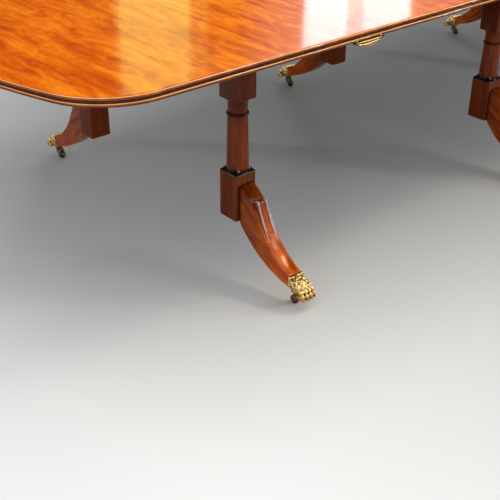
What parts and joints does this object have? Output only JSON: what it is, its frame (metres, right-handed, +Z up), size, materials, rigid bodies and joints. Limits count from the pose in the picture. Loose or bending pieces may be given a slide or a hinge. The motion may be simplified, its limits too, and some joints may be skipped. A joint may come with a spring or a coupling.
{
  "type": "extending dining table",
  "caption": "Mahogany extending dining table: reeded top with loose leaves and brass clips, turned columns, sabre legs with brass paw casters, and a sliding underframe.",
  "frame": {"origin": "middle of the table's plan, on the floor", "axes": "+X along the table to its right end, -Y to the near long edge, +Z up"},
  "size_m": [3.58, 1.323, 0.725],
  "materials": {
    "top_mahogany": "French polished",
    "frame_mahogany": "French polished",
    "slide_wood": "waxed",
    "brass": "polished",
    "screw_steel": "plain"
  },
  "bodies": {
    "left_end": {"left_near_column": "frame_mahogany", "left_near_leg": "frame_mahogany", "left_near_paw": "brass", "left_near_slide": "slide_wood", "left_far_column": "frame_mahogany", "left_far_leg": "frame_mahogany", "left_far_paw": "brass", "left_far_slide": "slide_wood", "left_bearer": "slide_wood", "left_frame_screws": "screw_steel", "left_end_top": "top_mahogany", "left_clip_keepers": "brass"},
    "centre_frame": {"centre_near_column": "frame_mahogany", "centre_near_leg": "frame_mahogany", "centre_near_paw": "brass", "centre_near_slide": "slide_wood", "centre_far_column": "frame_mahogany", "centre_far_leg": "frame_mahogany", "centre_far_paw": "brass", "centre_far_slide": "slide_wood", "centre_bearer": "slide_wood", "centre_frame_screws": "screw_steel", "centre_slide_stops": "slide_wood"},
    "right_end": {"right_near_column": "frame_mahogany", "right_near_leg": "frame_mahogany", "right_near_paw": "brass", "right_near_slide": "slide_wood", "right_far_column": "frame_mahogany", "right_far_leg": "frame_mahogany", "right_far_paw": "brass", "right_far_slide": "slide_wood", "right_bearer": "slide_wood", "right_frame_screws": "screw_steel", "right_end_top": "top_mahogany", "right_clip_keepers": "brass"},
    "left_leaf": {"left_leaf": "top_mahogany"},
    "centre_leaf": {"centre_leaf": "top_mahogany"},
    "right_leaf": {"right_leaf": "top_mahogany"},
    "left_near_clip": {"left_near_clip": "brass"},
    "left_far_clip": {"left_far_clip": "brass"},
    "right_near_clip": {"right_near_clip": "brass"},
    "right_far_clip": {"right_far_clip": "brass"},
    "left_near_caster": {"left_near_caster_horn": "brass", "left_near_caster_axle": "brass"},
    "left_near_wheel": {"left_near_caster_wheel": "brass"},
    "left_far_caster": {"left_far_caster_horn": "brass", "left_far_caster_axle": "brass"},
    "left_far_wheel": {"left_far_caster_wheel": "brass"},
    "centre_near_caster": {"centre_near_caster_horn": "brass", "centre_near_caster_axle": "brass"},
    "centre_near_wheel": {"centre_near_caster_wheel": "brass"},
    "centre_far_caster": {"centre_far_caster_horn": "brass", "centre_far_caster_axle": "brass"},
    "centre_far_wheel": {"centre_far_caster_wheel": "brass"},
    "right_near_caster": {"right_near_caster_horn": "brass", "right_near_caster_axle": "brass"},
    "right_near_wheel": {"right_near_caster_wheel": "brass"},
    "right_far_caster": {"right_far_caster_horn": "brass", "right_far_caster_axle": "brass"},
    "right_far_wheel": {"right_far_caster_wheel": "brass"}
  },
  "joints": [
    {"name": "left_end_slide", "type": "slide", "parent": "centre_frame", "child": "left_end", "axis": [-1, 0, 0], "range_m": [0, 0.314]},
    {"name": "right_end_slide", "type": "slide", "parent": "centre_frame", "child": "right_end", "axis": [1, 0, 0], "range_m": [0, 0.314]},
    {"name": "left_leaf_lift", "type": "slide", "parent": "left_end", "child": "left_leaf", "axis": [0, 0, 1], "range_m": [0, 0.25]},
    {"name": "centre_leaf_lift", "type": "slide", "parent": "centre_frame", "child": "centre_leaf", "axis": [0, 0, 1], "range_m": [0, 0.25]},
    {"name": "right_leaf_lift", "type": "slide", "parent": "right_end", "child": "right_leaf", "axis": [0, 0, 1], "range_m": [0, 0.25]},
    {"name": "left_near_clip_pull", "type": "slide", "parent": "left_end", "child": "left_near_clip", "axis": [0, -1, 0], "range_m": [0, 0.08]},
    {"name": "left_far_clip_pull", "type": "slide", "parent": "left_end", "child": "left_far_clip", "axis": [0, 1, 0], "range_m": [0, 0.08]},
    {"name": "right_near_clip_pull", "type": "slide", "parent": "right_end", "child": "right_near_clip", "axis": [0, -1, 0], "range_m": [0, 0.08]},
    {"name": "right_far_clip_pull", "type": "slide", "parent": "right_end", "child": "right_far_clip", "axis": [0, 1, 0], "range_m": [0, 0.08]},
    {"name": "left_near_swivel", "type": "hinge", "parent": "left_end", "child": "left_near_caster", "pos_m": [-1.078, -0.601, 0.045], "axis": [0, 0, 1], "continuous": true},
    {"name": "left_near_roll", "type": "hinge", "parent": "left_near_caster", "child": "left_near_wheel", "pos_m": [-1.078, -0.587, 0.0125], "axis": [1, 0, 0], "continuous": true},
    {"name": "left_far_swivel", "type": "hinge", "parent": "left_end", "child": "left_far_caster", "pos_m": [-1.078, 0.601, 0.045], "axis": [0, 0, 1], "continuous": true},
    {"name": "left_far_roll", "type": "hinge", "parent": "left_far_caster", "child": "left_far_wheel", "pos_m": [-1.078, 0.587, 0.0125], "axis": [1, 0, 0], "continuous": true},
    {"name": "centre_near_swivel", "type": "hinge", "parent": "centre_frame", "child": "centre_near_caster", "pos_m": [0, -0.601, 0.045], "axis": [0, 0, 1], "continuous": true},
    {"name": "centre_near_roll", "type": "hinge", "parent": "centre_near_caster", "child": "centre_near_wheel", "pos_m": [0, -0.587, 0.0125], "axis": [1, 0, 0], "continuous": true},
    {"name": "centre_far_swivel", "type": "hinge", "parent": "centre_frame", "child": "centre_far_caster", "pos_m": [0, 0.601, 0.045], "axis": [0, 0, 1], "continuous": true},
    {"name": "centre_far_roll", "type": "hinge", "parent": "centre_far_caster", "child": "centre_far_wheel", "pos_m": [0, 0.587, 0.0125], "axis": [1, 0, 0], "continuous": true},
    {"name": "right_near_swivel", "type": "hinge", "parent": "right_end", "child": "right_near_caster", "pos_m": [1.078, -0.601, 0.045], "axis": [0, 0, 1], "continuous": true},
    {"name": "right_near_roll", "type": "hinge", "parent": "right_near_caster", "child": "right_near_wheel", "pos_m": [1.078, -0.587, 0.0125], "axis": [1, 0, 0], "continuous": true},
    {"name": "right_far_swivel", "type": "hinge", "parent": "right_end", "child": "right_far_caster", "pos_m": [1.078, 0.601, 0.045], "axis": [0, 0, 1], "continuous": true},
    {"name": "right_far_roll", "type": "hinge", "parent": "right_far_caster", "child": "right_far_wheel", "pos_m": [1.078, 0.587, 0.0125], "axis": [1, 0, 0], "continuous": true}
  ]
}
